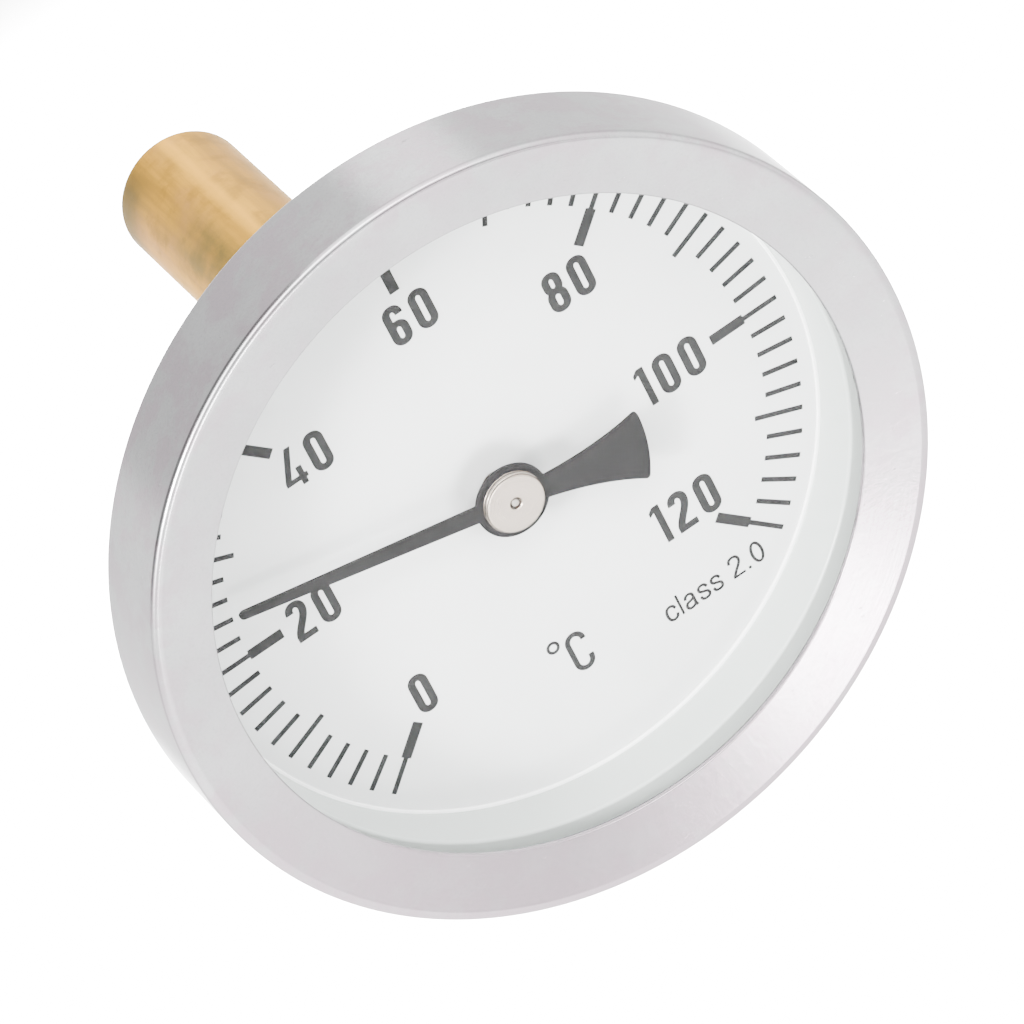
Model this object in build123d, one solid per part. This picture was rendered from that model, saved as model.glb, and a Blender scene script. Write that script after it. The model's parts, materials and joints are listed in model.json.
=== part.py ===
"""Back-entry bimetal dial thermometer with its brass immersion pocket.

Millimetres. The axis of the stem is Y: the dial faces -Y and the pocket's closed end is at +Y.
+Z is up on the dial. The origin is on the axis, in the face of the sealing washer that is
screwed down against a tank or pipe boss.
"""
import os
from math import cos, radians, sin, sqrt

from build123d import *

# --- where the layers lie on the axis ---
SEAL_FACE = 0.0  # back face of the sealing washer, the origin
WASHER_T = 1.5
SHOULDER = SEAL_FACE - WASHER_T  # hexagon face that presses on the washer
HEX_T = 7.5
POCKET_MOUTH = SHOULDER - HEX_T
POCKET_GAP = 0.3  # stem boss to pocket mouth
INSERTION = 45.0  # hexagon shoulder to the pocket's closed end
POCKET_TIP = SHOULDER + INSERTION
DIAL = -14.3  # front face of the dial plate

# --- bezel ring ---
BEZEL_R = 31.5
BEZEL_WALL = 0.9
BEZEL_H = 8.7  # front corner above the dial
BEZEL_RIM_H = 0.5  # back edge above the dial
WINDOW_R = 26.4
LIP_H = 7.8
LIP_T = 0.4
CORNER_ROUND = 0.5
BAND = 0.25  # flat band between the round corner and the sloping face

# --- case pot ---
POT_R = BEZEL_R - BEZEL_WALL
POT_WALL = 0.6
POT_BACK = DIAL + 2.5
POT_CORNER = 3.2
POT_RIM_H = 6.9
BEAD_R = (23.5, 26.5)  # pressed bead that carries the dial

# --- stack inside the case ---
STACK_R = 29.6
DIAL_R = 29.4
DIAL_T = 0.5
DIAL_HOLE_R = 1.3
SPACER_H = 5.0
GLASS_T = 2.0
GASKET_R = 26.6

# --- pointer and its hub ---
SWEEP = 270.0
SCALE_MAX = 120.0
READING = 25.8  # temperature shown at rest, degrees C
POINTER_H = 2.65  # top face above the dial
POINTER_T = 0.3
POINTER_TIP_R = 22.5
ARM_HALF = 0.75  # half width at the disc
ARM_TIP_HALF = 0.37
DISC_R = 2.97
TAIL_R = 11.3
TAIL_NECK = 0.95  # half width at the disc
TAIL_SPREAD = 29.5  # angle of the tail's end, degrees
TAIL_CORNER = 0.4
HUB_R = 1.5
HUB_GAP = 0.4  # hub to dial
SPIGOT_R = 1.0
SPIGOT_H = 3.0
CAP_R = 2.45
CAP_H = 3.2
CAP_HOLE_R = 0.47
CAP_BEVEL = 0.3

# --- spindle, bearings and bimetal coil ---
SPINDLE_R = 0.6
SPINDLE_TIP_R = 0.33
SPINDLE_TIP_H = 3.08  # above the dial
RUNNING = 0.04  # radial clearance of a journal
TUBE_R = 4.5
TUBE_WALL = 0.4
TUBE_FRONT = DIAL + 2.0
TUBE_END = POCKET_TIP - 1.9
BORE_R = TUBE_R - TUBE_WALL
PLUG_T = 2.8
COLLAR_R = 3.2
COLLAR_T = 0.8
COLLAR_HUB_R = 1.5
COLLAR_HUB_T = 1.0
COIL_R = 3.0  # mean radius of the coil
STRIP_T = 0.3
STRIP_W = 1.3
COIL_PITCH = 2.1
COIL_TURNS = 10
COIL_START = TUBE_END - PLUG_T - STRIP_W / 2 - COIL_PITCH * COIL_TURNS
COLLAR_Y = COIL_START - STRIP_W / 2 - COLLAR_T
REAR_BEARING_T = 2.0

# --- stem boss, spring washer and back nut ---
BOSS_HEAD_R = 8.0
BOSS_NECK_R = 6.0
BOSS_FRONT = DIAL + DIAL_T + 0.1
BOSS_END = POCKET_MOUTH - POCKET_GAP
BOSS_HOLE_R = 2.5
SPRING_WASHER_T = 0.5
SPRING_WASHER_R = 9.0
NUT_AF = 17.0
NUT_T = 1.8

# --- pocket, G1/2 thread ---
HEX_AF = 24.0
THREAD_R = 20.955 / 2
THREAD_LEN = 12.5
THREAD_CHAMFER = 1.0
RELIEF_R = 9.0
SHANK_R = 5.45
POCKET_BORE_R = 4.6
TIP_WALL = 1.5
TIP_ROUND = 0.8
WASHER_R = (10.7, 13.3)

# --- clamp screw, M4 slotted grub screw in one flat of the hexagon ---
SCREW_R = 2.0
SCREW_CLEAR = 0.05
SCREW_Y = (POCKET_MOUTH + SHOULDER) / 2
SCREW_TIP_X = TUBE_R + 0.1
SCREW_END_X = HEX_AF / 2 - 0.6
SCREW_POINT_R = 1.4
SLOT_W = 0.6
SLOT_DEPTH = 0.9


def above(height):
    """Y of a height above the dial's front face."""
    return DIAL - height


def turned(corners, rounds=()):
    """Solid turned about Y from (radius, y) corners; rounds holds (corner, fillet radius)."""
    section = make_face(Polyline(*corners, close=True))
    for corner, radius in rounds:
        vertex = section.vertices().sort_by_distance(Vector(*corners[corner], 0))[0]
        section = fillet(vertex, radius)
    return revolve(section, Axis.Y)


def tube(outer, inner, start, end):
    """Plain ring or tube between two places on the axis."""
    return turned([(inner, start), (outer, start), (outer, end), (inner, end)])


def hexagon(across_flats, start, end, bevel):
    """Hexagon bar along Y with flats facing +X and -X and both ends bevelled to a circle."""
    corner = across_flats / sqrt(3)
    flat_plane = Plane(origin=(0, start, 0), x_dir=(1, 0, 0), z_dir=(0, 1, 0))
    bar = extrude(flat_plane * RegularPolygon(corner, 6, rotation=30), end - start)
    face_r = across_flats / 2 - 0.2
    turning = turned(
        [
            (0, start),
            (face_r, start),
            (corner, start + bevel),
            (corner, end - bevel),
            (face_r, end),
            (0, end),
        ]
    )
    return bar & turning


def bezel_ring():
    corners = [
        (BEZEL_R, above(BEZEL_RIM_H)),
        (BEZEL_R, above(BEZEL_H)),
        (BEZEL_R - CORNER_ROUND - BAND, above(BEZEL_H)),
        (WINDOW_R, above(LIP_H)),
        (WINDOW_R, above(LIP_H - LIP_T)),
        (POT_R, above(LIP_H - LIP_T)),
        (POT_R, above(BEZEL_RIM_H)),
    ]
    rounds = [(0, 0.25), (1, CORNER_ROUND), (3, 0.12)]
    return turned(corners, rounds)


def case_pot():
    floor = POT_BACK - POT_WALL
    ledge = DIAL + DIAL_T
    inner_r = POT_R - POT_WALL
    bead_in, bead_out = BEAD_R
    hole = BOSS_NECK_R + 0.05
    slope = 0.2
    corners = [
        (hole, floor),
        (bead_in - slope, floor),
        (bead_in, ledge),
        (bead_out, ledge),
        (bead_out + slope, floor),
        (inner_r, floor),
        (inner_r, above(POT_RIM_H)),
        (POT_R, above(POT_RIM_H)),
        (POT_R, POT_BACK),
        (bead_out + slope - POT_WALL, POT_BACK),
        (bead_out - POT_WALL, ledge + POT_WALL),
        (bead_in + POT_WALL, ledge + POT_WALL),
        (bead_in - slope + POT_WALL, POT_BACK),
        (hole, POT_BACK),
    ]
    rounds = [(5, POT_CORNER - POT_WALL), (8, POT_CORNER), (9, 0.3), (12, 0.3)]
    return turned(corners, rounds)


def window_glass():
    front, back = above(SPACER_H + GLASS_T), above(SPACER_H)
    edge = 0.2
    corners = [
        (0, front),
        (STACK_R - edge, front),
        (STACK_R, front + edge),
        (STACK_R, back - edge),
        (STACK_R - edge, back),
        (0, back),
    ]
    return turned(corners)


def window_gasket():
    return tube(STACK_R, GASKET_R, above(LIP_H - LIP_T), above(SPACER_H + GLASS_T))


def spacer_ring():
    return tube(STACK_R, WINDOW_R, above(SPACER_H), DIAL)


def dial_plate():
    return tube(DIAL_R, DIAL_HOLE_R, DIAL, DIAL + DIAL_T)


def pointer_arm():
    """Straight tapered arm pointing up, with a round end."""
    straight = POINTER_TIP_R - ARM_TIP_HALF
    return make_face(
        Polyline(
            (-ARM_HALF, 0),
            (-ARM_TIP_HALF, straight),
            (ARM_TIP_HALF, straight),
            (ARM_HALF, 0),
            close=True,
        )
    ) + Pos(0, straight) * Circle(ARM_TIP_HALF)


def pointer_tail():
    """Flared counterweight pointing down: hollow sides and an end struck from the centre."""
    half = radians(TAIL_SPREAD / 2)
    corner = (TAIL_R * sin(half), -TAIL_R * cos(half))
    neck = (TAIL_NECK, -DISC_R * 0.8)
    waist = (TAIL_NECK + 0.42, (neck[1] + corner[1]) / 2 + 0.35)
    right = ThreePointArc(neck, waist, corner)
    left = ThreePointArc((-corner[0], corner[1]), (-waist[0], waist[1]), (-neck[0], neck[1]))
    end = ThreePointArc(corner, (0, -TAIL_R), (-corner[0], corner[1]))
    closing = Line((-neck[0], neck[1]), neck)
    tail = make_face([right, end, left, closing])
    return fillet(tail.vertices().sort_by(Axis.Y)[:2], TAIL_CORNER)


def pointer():
    outline = Circle(DISC_R) + pointer_arm() + pointer_tail() - Circle(SPIGOT_R)
    top = Plane(origin=(0, above(POINTER_H), 0), x_dir=(-1, 0, 0), z_dir=(0, 1, 0))
    blank = extrude(top * outline, POINTER_T)
    return Rot(0, READING / SCALE_MAX * SWEEP - SWEEP / 2, 0) * blank


def pointer_hub():
    seat = above(POINTER_H - POINTER_T)
    corners = [
        (SPINDLE_R, above(HUB_GAP)),
        (SPINDLE_R, seat),
        (SPINDLE_TIP_R, seat),
        (SPINDLE_TIP_R, above(SPIGOT_H)),
        (SPIGOT_R, above(SPIGOT_H)),
        (SPIGOT_R, seat),
        (HUB_R, seat),
        (HUB_R, above(HUB_GAP)),
    ]
    return turned(corners)


def hub_cap():
    corners = [
        (SPIGOT_R, above(POINTER_H)),
        (SPIGOT_R, above(SPIGOT_H)),
        (CAP_HOLE_R, above(SPIGOT_H)),
        (CAP_HOLE_R, above(CAP_H)),
        (CAP_R - CAP_BEVEL, above(CAP_H)),
        (CAP_R, above(CAP_H - CAP_BEVEL)),
        (CAP_R, above(POINTER_H)),
    ]
    return turned(corners)


def spindle():
    seat = above(POINTER_H - POINTER_T)
    foot = TUBE_END - 1.3
    corners = [
        (0, above(SPINDLE_TIP_H)),
        (SPINDLE_TIP_R, above(SPINDLE_TIP_H)),
        (SPINDLE_TIP_R, seat),
        (SPINDLE_R, seat),
        (SPINDLE_R, foot - SPINDLE_R / 2),
        (SPINDLE_R / 2, foot),
        (0, foot),
    ]
    return turned(corners)


def front_bearing():
    """Bush in the front end of the stem tube, with a spigot through the boss."""
    bore = SPINDLE_R + RUNNING
    corners = [
        (bore, BOSS_FRONT + 0.3),
        (BOSS_HOLE_R, BOSS_FRONT + 0.3),
        (BOSS_HOLE_R, TUBE_FRONT),
        (BORE_R, TUBE_FRONT),
        (BORE_R, BOSS_END),
        (bore, BOSS_END),
    ]
    return turned(corners)


def rear_bearing():
    end = COLLAR_Y - COLLAR_HUB_T - 1.0
    return tube(BORE_R, SPINDLE_R + RUNNING, end - REAR_BEARING_T, end)


def coil_collar():
    """Disc fixed on the spindle; the moving end of the coil is brazed to it."""
    corners = [
        (SPINDLE_R, COLLAR_Y - COLLAR_HUB_T),
        (COLLAR_HUB_R, COLLAR_Y - COLLAR_HUB_T),
        (COLLAR_HUB_R, COLLAR_Y),
        (COLLAR_R, COLLAR_Y),
        (COLLAR_R, COLLAR_Y + COLLAR_T),
        (SPINDLE_R, COLLAR_Y + COLLAR_T),
    ]
    return turned(corners)


def bimetal_coil():
    """Flat bimetal strip wound into a helix about the spindle."""
    path = Helix(
        COIL_PITCH,
        COIL_PITCH * COIL_TURNS,
        COIL_R,
        center=(0, COIL_START, 0),
        direction=(0, 1, 0),
    )
    start = path @ 0
    outward = Vector(start.X, 0, start.Z)
    strip = Plane(origin=start, x_dir=outward, z_dir=path % 0) * Rectangle(STRIP_T, STRIP_W)
    return sweep(strip, path=path, is_frenet=True)


def tube_plug():
    """Plug in the stem tube's end: it holds the coil's fixed end and the spindle's foot."""
    front = TUBE_END - PLUG_T
    bore = SPINDLE_R + RUNNING
    corners = [
        (bore, front),
        (BORE_R, front),
        (BORE_R, TUBE_END),
        (0, TUBE_END),
        (0, TUBE_END - 0.9),
        (bore, TUBE_END - 0.9),
    ]
    return turned(corners)


def stem_tube():
    return tube(TUBE_R, BORE_R, TUBE_FRONT, TUBE_END)


def stem_boss():
    """Flanged boss: its head is inside the case and its neck goes out through the back."""
    floor = POT_BACK - POT_WALL
    corners = [
        (BOSS_HOLE_R, BOSS_FRONT),
        (BOSS_HEAD_R, BOSS_FRONT),
        (BOSS_HEAD_R, floor),
        (BOSS_NECK_R, floor),
        (BOSS_NECK_R, BOSS_END - 0.4),
        (BOSS_NECK_R - 0.4, BOSS_END),
        (TUBE_R, BOSS_END),
        (TUBE_R, TUBE_FRONT),
        (BOSS_HOLE_R, TUBE_FRONT),
    ]
    return turned(corners)


def spring_washer():
    return tube(SPRING_WASHER_R, BOSS_NECK_R + 0.1, POT_BACK, POT_BACK + SPRING_WASHER_T)


def back_nut():
    start = POT_BACK + SPRING_WASHER_T
    nut = hexagon(NUT_AF, start, start + NUT_T, 0.5)
    return nut - tube(BOSS_NECK_R, 0, start - 1, start + NUT_T + 1)


def pocket():
    """Brass pocket: hexagon head, thread, plain shank with a closed end, and one long bore."""
    thread_end = SEAL_FACE + THREAD_LEN
    body = turned(
        [
            (0, SHOULDER),
            (RELIEF_R, SHOULDER),
            (RELIEF_R, SEAL_FACE),
            (THREAD_R, SEAL_FACE),
            (THREAD_R, thread_end),
            (THREAD_R - THREAD_CHAMFER, thread_end + THREAD_CHAMFER),
            (SHANK_R, thread_end + THREAD_CHAMFER),
            (SHANK_R, POCKET_TIP),
            (0, POCKET_TIP),
        ],
        [(7, TIP_ROUND), (6, 0.4)],
    )
    head = hexagon(HEX_AF, POCKET_MOUTH, SHOULDER, 0.9)
    bore_end = POCKET_TIP - TIP_WALL
    bore = turned(
        [
            (0, POCKET_MOUTH),
            (POCKET_BORE_R + 0.5, POCKET_MOUTH),
            (POCKET_BORE_R, POCKET_MOUTH + 0.5),
            (POCKET_BORE_R, bore_end),
            (0, bore_end),
        ]
    )
    tapping = Plane(origin=(0, SCREW_Y, 0), x_dir=(0, 1, 0), z_dir=(1, 0, 0))
    hole = extrude(tapping * Circle(SCREW_R + SCREW_CLEAR), HEX_AF)
    return head + body - bore - hole


def thread_washer():
    return tube(WASHER_R[1], WASHER_R[0], SHOULDER, SEAL_FACE)


def clamp_screw():
    """Grub screw along +X with a short point and a screwdriver slot."""
    length = SCREW_END_X - SCREW_TIP_X
    section = make_face(
        Polyline(
            (0, 0),
            (SCREW_POINT_R, 0),
            (SCREW_R, SCREW_R - SCREW_POINT_R),
            (SCREW_R, length - 0.3),
            (SCREW_R - 0.3, length),
            (0, length),
            close=True,
        )
    )
    blank = revolve(section, Axis.Y)
    slot = Pos(0, length, 0) * Box(4 * SCREW_R, 2 * SLOT_DEPTH, SLOT_W)
    return Pos(SCREW_TIP_X, SCREW_Y, 0) * Rot(0, 0, -90) * (blank - slot)


PARTS = (
    bezel_ring,
    case_pot,
    window_glass,
    window_gasket,
    spacer_ring,
    dial_plate,
    pointer,
    pointer_hub,
    hub_cap,
    spindle,
    front_bearing,
    rear_bearing,
    coil_collar,
    bimetal_coil,
    tube_plug,
    stem_tube,
    stem_boss,
    spring_washer,
    back_nut,
    pocket,
    thread_washer,
    clamp_screw,
)

os.makedirs("parts", exist_ok=True)
for make in PARTS:
    export_step(make(), f"parts/{make.__name__}.step")
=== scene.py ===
"""Looks of a dial thermometer with a brass immersion pocket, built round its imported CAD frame.

The stem's axis is Y. The dial faces -Y, +Z is up on the dial and the pocket's tip is at +Y.
Lengths are metres; MM turns millimetres into them.
"""

import json
from math import cos, pi, radians, sin, sqrt

import bmesh
import bpy
import numpy as np
from bpy.props import FloatProperty, FloatVectorProperty, IntProperty, PointerProperty
from mathutils import Matrix, Vector


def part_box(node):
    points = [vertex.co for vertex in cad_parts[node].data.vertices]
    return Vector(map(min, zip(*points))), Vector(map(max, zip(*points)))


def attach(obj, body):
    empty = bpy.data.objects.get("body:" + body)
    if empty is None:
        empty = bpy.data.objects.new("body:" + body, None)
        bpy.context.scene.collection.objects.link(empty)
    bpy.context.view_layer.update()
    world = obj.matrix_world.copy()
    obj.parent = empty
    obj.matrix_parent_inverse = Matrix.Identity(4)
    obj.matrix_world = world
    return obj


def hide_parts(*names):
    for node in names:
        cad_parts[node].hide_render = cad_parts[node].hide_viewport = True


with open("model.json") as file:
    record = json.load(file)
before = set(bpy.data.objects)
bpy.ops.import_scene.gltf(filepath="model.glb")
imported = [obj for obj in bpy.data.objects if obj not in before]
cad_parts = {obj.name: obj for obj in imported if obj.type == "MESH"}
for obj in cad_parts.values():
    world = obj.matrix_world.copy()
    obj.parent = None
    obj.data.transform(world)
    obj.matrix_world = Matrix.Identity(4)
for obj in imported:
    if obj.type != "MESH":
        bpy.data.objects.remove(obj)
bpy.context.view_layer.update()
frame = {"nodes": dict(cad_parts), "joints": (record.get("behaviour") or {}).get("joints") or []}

bl_info = {
    "name": "Dial Thermometer",
    "version": (1, 0, 0),
    "blender": (4, 5, 0),
    "location": "View3D > Sidebar > Thermometer",
    "description": "Builds the visible surfaces of a back-entry dial thermometer",
    "category": "Add Mesh",
}

MM = 0.001
TURN = 2 * pi


# --- what the frame says ---

def front(node):
    """Y of a node's front, nearest the reader."""
    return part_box(node)[0].y


def back(node):
    """Y of a node's back, nearest the pocket's tip."""
    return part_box(node)[1].y


def outer(node):
    """Outer radius of a round node."""
    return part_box(node)[1].x


DIAL_Y = front("dial_plate")
READING = -radians(next(j for j in frame["joints"] if j["name"] == "pointer_turn")["range_deg"][0])
SWEEP = radians(270)
SCALE_MAX = 120


def span(node):
    """Y of a round node's front and back, and its outer radius."""
    return front(node), back(node), outer(node)


def above(height):
    """Y of a height over the dial's face."""
    return DIAL_Y - height


# --- surfaces ---

def around(radius, angle, y):
    """Points at a radius from the Y axis: x is radius times sin(angle), z radius times cos."""
    radius, angle, y = np.broadcast_arrays(radius, angle, y)
    return np.stack([radius * np.sin(angle), y, radius * np.cos(angle)], -1)


def rounded(corners, steps=5, closed=True):
    """Outline through (a, b, rounding) corners, each drawn as an arc of its rounding.

    The arc starts and ends rounding / tan(half the corner's angle) from the corner and turns
    evenly about a centre on the bisector. A point just outside each of its ends keeps the
    straights flat when the surface is shaded smooth.
    """
    places = np.array([corner[:2] for corner in corners], float)
    points, last = [], len(corners) - 1
    for i, (corner, (_, _, rounding)) in enumerate(zip(places, corners)):
        if rounding == 0 or (not closed and i in (0, last)):
            points.append(corner[None])
            continue
        to_last, to_next = places[i - 1] - corner, places[(i + 1) % len(corners)] - corner
        u, w = to_last / np.linalg.norm(to_last), to_next / np.linalg.norm(to_next)
        half = np.arccos(np.clip(u @ w, -1, 1)) / 2
        reach = rounding / np.tan(half)
        centre = corner + (u + w) / np.linalg.norm(u + w) * rounding / np.sin(half)
        start, end = corner + u * reach - centre, corner + w * reach - centre
        share, turn = np.linspace(0, 1, steps + 1)[:, None], pi - 2 * half
        arc = (start * np.sin((1 - share) * turn) + end * np.sin(share * turn)) / np.sin(turn)
        reach += 0.3 * min(rounding, 0.3 * MM)
        points += [(corner + u * reach)[None], centre + arc, (corner + w * reach)[None]]
    return np.concatenate(points)


def linked(name, data):
    """New object in the scene that shows the data."""
    piece = bpy.data.objects.new(name, data)
    bpy.context.scene.collection.objects.link(piece)
    return piece


def lathe(profile, angle):
    """Grid of (radius, y) points turned to each of the angles round Y."""
    return around(profile[:, :1], angle[None], profile[:, 1:])


def skin(name, grids, smooth_angle=None):
    """Object whose mesh is one or more grids of points, merged where they meet.

    Each grid is (points, wrap rows, wrap columns, cap ends): quads join neighbours, a wrapped
    side joins its last line to its first, and a cap closes the first and last rows.
    """
    vertices, faces, caps, base = [], [], [], 0
    for points, wrap_rows, wrap_columns, cap_ends in grids:
        rows, columns = points.shape[:2]
        whole = index = base + np.arange(rows * columns).reshape(rows, columns)
        if wrap_rows:
            index = np.concatenate([index, index[:1]])
        if wrap_columns:
            index = np.concatenate([index, index[:, :1]], 1)
        quads = np.stack([index[:-1, :-1], index[1:, :-1], index[1:, 1:], index[:-1, 1:]], -1)
        faces.append(quads.reshape(-1, 4))
        vertices.append(points.reshape(-1, 3))
        if cap_ends:
            caps += [whole[0].tolist(), whole[-1][::-1].tolist()]
        base += rows * columns
    mesh = bpy.data.meshes.new(name)
    mesh.from_pydata(np.concatenate(vertices), [], np.concatenate(faces).tolist() + caps)
    work = bmesh.new()
    work.from_mesh(mesh)
    bmesh.ops.remove_doubles(work, verts=work.verts, dist=1e-7)
    bmesh.ops.dissolve_degenerate(work, edges=work.edges, dist=1e-8)
    bmesh.ops.recalc_face_normals(work, faces=work.faces)
    work.to_mesh(mesh)
    work.free()
    mesh.shade_smooth()
    if smooth_angle:
        mesh.set_sharp_from_angle(angle=radians(smooth_angle))
    return linked(name, mesh)


def turned(name, corners, segments=256, steps=5, closed=True):
    """Surface of revolution: the rounded (radius, y) outline goes once round Y."""
    points = lathe(rounded(corners, steps, closed), np.arange(segments) * TURN / segments)
    return skin(name, [(points, closed, True, False)])


def finished(piece, body, material, slot, *nodes):
    """Gives a piece its material and body, and hides the CAD nodes that it stands for. The slot is not
    used.
    """
    piece.data.materials.clear()
    piece.data.materials.append(material)
    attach(piece, body)
    if nodes:
        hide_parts(*nodes)
    return piece


def hexagon_radius(angle, across_flats):
    """Radius of a hexagon with a flat facing +X: half the width over cos(angle to the flat)."""
    return across_flats / 2 / np.cos(np.mod(angle, pi / 3) - pi / 6)


def thread_radius(angle, y, pitch, major, depth):
    """Right-hand thread: a triangle wave of y / pitch less the turn, its peaks rounded by a sine."""
    phase = np.mod(y / pitch - angle / TURN, 1)
    wave = 1 - 4 * np.abs(phase - 0.5)
    return major - depth / 2 + depth / 2 * np.sin(pi / 2 * np.clip(1.4 * wave, -1, 1))


# --- shaders ---

class Amount:
    """A float socket in a sum: every operator adds one Math node."""

    def __init__(self, shader, socket):
        self.shader, self.socket = shader, socket

    def _math(self, operation, *values):
        node = self.shader.node("ShaderNodeMath", {"operation": operation}, dict(enumerate(values)))
        return Amount(self.shader, node.outputs[0])

    def __add__(self, other):
        return self._math("ADD", self, other)

    def __sub__(self, other):
        return self._math("SUBTRACT", self, other)

    def __rsub__(self, other):
        return self._math("SUBTRACT", other, self)

    def __mul__(self, other):
        return self._math("MULTIPLY", self, other)

    def __truediv__(self, other):
        return self._math("DIVIDE", self, other)

    def __pow__(self, other):
        return self._math("POWER", self, other)

    __radd__, __rmul__ = __add__, __mul__

    def band(self, low, low_end, high, high_end):
        """0 under low, 1 from low_end to high, 0 over high_end, and smooth between them."""
        return self.step(low, low_end) * (1 - self.step(high, high_end))

    def step(self, low, high):
        """0 under low, 1 over high, and smooth between them."""
        ends = {"Value": self, "From Min": low, "From Max": high}
        settings = {"interpolation_type": "SMOOTHSTEP"}
        node = self.shader.node("ShaderNodeMapRange", settings, ends)
        return Amount(self.shader, node.outputs[0])


class Nodes:
    """A node tree being made, and the point or direction that its patterns are laid on."""

    def __init__(self, owner, output, coordinates):
        owner.use_nodes = True
        self.tree = owner.node_tree
        self.tree.nodes.clear()
        self.surface = self.node(output).inputs["Surface"]
        self.place = self.node("ShaderNodeTexCoord").outputs[coordinates]

    def link(self, source, target):
        self.tree.links.new(source, target)

    def node(self, kind, settings=None, sockets=None):
        """Adds a node, makes its settings, then fills its sockets with values or links."""
        node = self.tree.nodes.new(kind)
        for key, value in (settings or {}).items():
            setattr(node, key, value)
        for key, value in (sockets or {}).items():
            if isinstance(value, Amount):
                value = value.socket
            if isinstance(value, bpy.types.NodeSocket):
                self.link(value, node.inputs[key])
            elif hasattr(value, "__len__") and len(value) == 3 and node.inputs[key].type == "RGBA":
                node.inputs[key].default_value = (*value, 1)
            else:
                node.inputs[key].default_value = value
        return node

    def parts(self):
        """The place's x, y and z as amounts."""
        node = self.node("ShaderNodeSeparateXYZ", {}, {0: self.place})
        return [Amount(self, socket) for socket in node.outputs]


class Shader(Nodes):
    """A material being made: one Principled shader and the nodes that feed it."""

    def __init__(self, name, **constants):
        self.material = bpy.data.materials.new(name)
        super().__init__(self.material, "ShaderNodeOutputMaterial", "Object")
        constants = {key.replace("_", " "): value for key, value in constants.items()}
        self.principled = self.node("ShaderNodeBsdfPrincipled", {}, constants)
        self.link(self.principled.outputs[0], self.surface)

    def radius(self):
        """Distance from the stem's axis."""
        x, _, z = self.parts()
        return (x * x + z * z) ** 0.5

    def noise(self, size, stretch=(1, 1, 1), detail=3.0, roughness=0.5, shift=0.0):
        """Cloudy noise from 0 to 1 whose lumps are about size metres across."""
        scale = [1 / (size * s) for s in stretch]
        sockets = {"Vector": self.place, "Scale": scale, "Location": (shift, shift, shift)}
        place = self.node("ShaderNodeMapping", {}, sockets).outputs[0]
        sockets = {"Vector": place, "Scale": 1.0, "Detail": detail, "Roughness": roughness}
        return Amount(self, self.node("ShaderNodeTexNoise", {}, sockets).outputs[0])

    def rings(self, size):
        """Noise that changes only with the distance from the axis and along it, as turning marks do."""
        _, y, _ = self.parts()
        sockets = {0: self.radius() / size, 1: y / size}
        place = self.node("ShaderNodeCombineXYZ", {}, sockets).outputs[0]
        sockets = {"Vector": place, "Scale": 1.0, "Detail": 2.0}
        return Amount(self, self.node("ShaderNodeTexNoise", {}, sockets).outputs[0])

    def specks(self, size, share):
        """1 in small scattered spots: cells of Voronoi distance under a share of their size."""
        sockets = {"Vector": self.place, "Scale": 1 / size}
        node = self.node("ShaderNodeTexVoronoi", {}, sockets)
        return 1 - Amount(self, node.outputs["Distance"]).step(share * 0.6, share)

    def mix(self, amount, low, high):
        """Colour between low and high."""
        settings = {"data_type": "RGBA", "clamp_factor": True}
        node = self.node("ShaderNodeMix", settings, {0: amount, 6: low, 7: high})
        return node.outputs[2]

    def bump(self, height, depth, strength=1.0):
        """Normal of a surface raised by height times depth metres."""
        sockets = {"Height": height, "Distance": depth, "Strength": strength}
        return self.node("ShaderNodeBump", {}, sockets).outputs[0]

    def finish(self, shade, rough, height, depth, strength=1.0):
        """Feeds colour and roughness, and a bump of height times depth millimetres."""
        bump = self.bump(height, depth * MM, strength)
        return self.feed(Base_Color=shade, Roughness=rough, Normal=bump)

    def feed(self, **inputs):
        """Links or sets the Principled shader's inputs and hands back the material."""
        for key, value in inputs.items():
            key = key.replace("_", " ")
            if isinstance(value, Amount):
                value = value.socket
            self.link(value, self.principled.inputs[key])
        return self.material


def tint(colour, factor):
    """A colour made lighter or darker by a factor."""
    return tuple(min(1.0, c * factor) for c in colour)


def case_metal(colour, blush, window):
    """Satin ring metal: cloudy grey, pinker low down and at the rim, with hairlines and small marks, and a
    painted shadow line on the lip's inner edge.
    """
    s = Shader("case_metal", Metallic=1.0)
    _, _, z = s.parts()
    radius = s.radius()
    clouds = s.noise(9 * MM, detail=5.0, roughness=0.6)
    patches = s.noise(3.2 * MM, detail=5.0, roughness=0.65, shift=11.0)
    fine = s.noise(0.5 * MM, detail=4.0, roughness=0.7, shift=3.0)
    grain = s.noise(0.2 * MM, detail=2.0, shift=5.0)
    marks = s.noise(2.4 * MM, stretch=(1, 0.25, 0.25), detail=6.0, roughness=0.75, shift=7.0)
    scratches = marks.step(0.66, 0.72)
    shade = s.mix(clouds.step(0.3, 0.7), tint(colour, 0.93), tint(colour, 1.06))
    edge = 0.3 + 0.45 * radius.step(28.0 * MM, 31.2 * MM)
    pink = edge * patches.step(0.42, 0.6) + 0.75 * (1 - z.step(-20 * MM, 6 * MM))
    shade = s.mix(pink, shade, blush)
    shade = s.mix(0.5 * scratches + 0.3 * grain.step(0.45, 0.75), shade, tint(colour, 0.72))
    # Painted shadow: a dark line round the lip's inner edge, everywhere but low down, standing in for the
    # shade under the lip.
    lip = (1 - radius.step(window + 0.02 * MM, window + 0.13 * MM)) * z.step(-14 * MM, -6 * MM)
    shade = s.mix(lip * 0.8, shade, tint(colour, 0.2))
    rough = 0.13 + 0.08 * fine + 0.08 * clouds + 0.14 * scratches
    height = 0.35 * s.rings(0.2 * MM) + 0.65 * fine - 0.8 * scratches
    return s.finish(shade, rough, height, 0.012, 0.7)


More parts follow.
